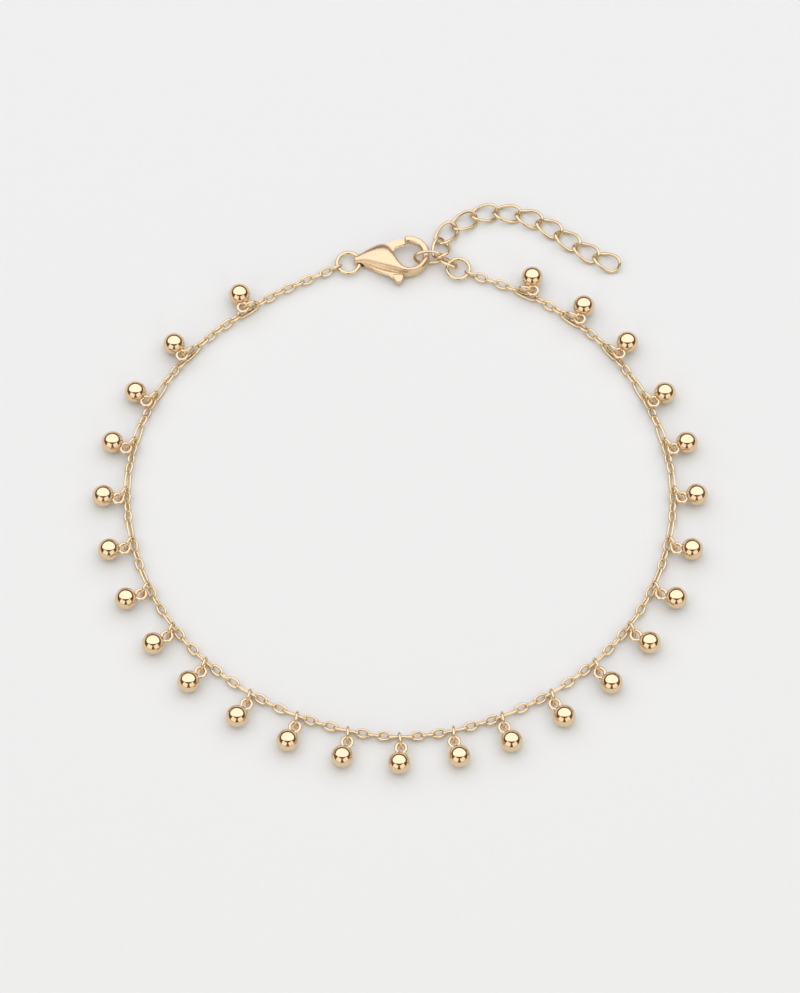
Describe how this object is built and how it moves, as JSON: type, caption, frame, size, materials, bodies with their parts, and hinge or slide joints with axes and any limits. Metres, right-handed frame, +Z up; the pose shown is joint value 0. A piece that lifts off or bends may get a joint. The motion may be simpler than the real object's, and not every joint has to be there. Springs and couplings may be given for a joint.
{
  "type": "bracelet",
  "caption": "Gold charm anklet lying in a loop: fine cable chain with small polished round balls on jump rings, lobster clasp hooked into an extender chain of oval links",
  "frame": {"origin": "on the surface, under the middle of the anklet's bounding box", "axes": "+X to the right as seen from the side away from the clasp, +Y from that side towards the clasp, +Z up from the surface"},
  "size_m": [0.0834, 0.0852, 0.003],
  "materials": {
    "chain_gold": "polished",
    "ball_gold": "polished",
    "clasp_gold": "satin"
  },
  "bodies": {
    "anklet": {"chain": "chain_gold", "ball_charm_01": "ball_gold", "ball_charm_02": "ball_gold", "ball_charm_03": "ball_gold", "ball_charm_04": "ball_gold", "ball_charm_05": "ball_gold", "ball_charm_06": "ball_gold", "ball_charm_07": "ball_gold", "ball_charm_08": "ball_gold", "ball_charm_09": "ball_gold", "ball_charm_10": "ball_gold", "ball_charm_11": "ball_gold", "ball_charm_12": "ball_gold", "ball_charm_13": "ball_gold", "ball_charm_14": "ball_gold", "ball_charm_15": "ball_gold", "ball_charm_16": "ball_gold", "ball_charm_17": "ball_gold", "ball_charm_18": "ball_gold", "ball_charm_19": "ball_gold", "ball_charm_20": "ball_gold", "ball_charm_21": "ball_gold", "ball_charm_22": "ball_gold", "ball_charm_23": "ball_gold", "ball_charm_24": "ball_gold", "ball_charm_25": "ball_gold", "ball_charm_26": "ball_gold", "clasp_ring": "chain_gold", "clasp_body": "clasp_gold", "chain_end_ring": "chain_gold", "extender_link_01": "chain_gold", "extender_link_02": "chain_gold", "extender_link_03": "chain_gold", "extender_link_04": "chain_gold", "extender_link_05": "chain_gold", "extender_link_06": "chain_gold", "extender_link_07": "chain_gold", "extender_link_08": "chain_gold", "extender_link_09": "chain_gold", "extender_link_10": "chain_gold", "extender_link_11": "chain_gold", "extender_link_12": "chain_gold"},
    "gate": {"clasp_lever": "clasp_gold"}
  },
  "joints": [
    {"name": "gate_hinge", "type": "hinge", "parent": "anklet", "child": "gate", "pos_m": [-0.00295, 0.03443, 0.00115], "axis": [0, 0, -1], "range_deg": [0, 24], "stiffness_Nm_per_rad": 0.0005}
  ]
}
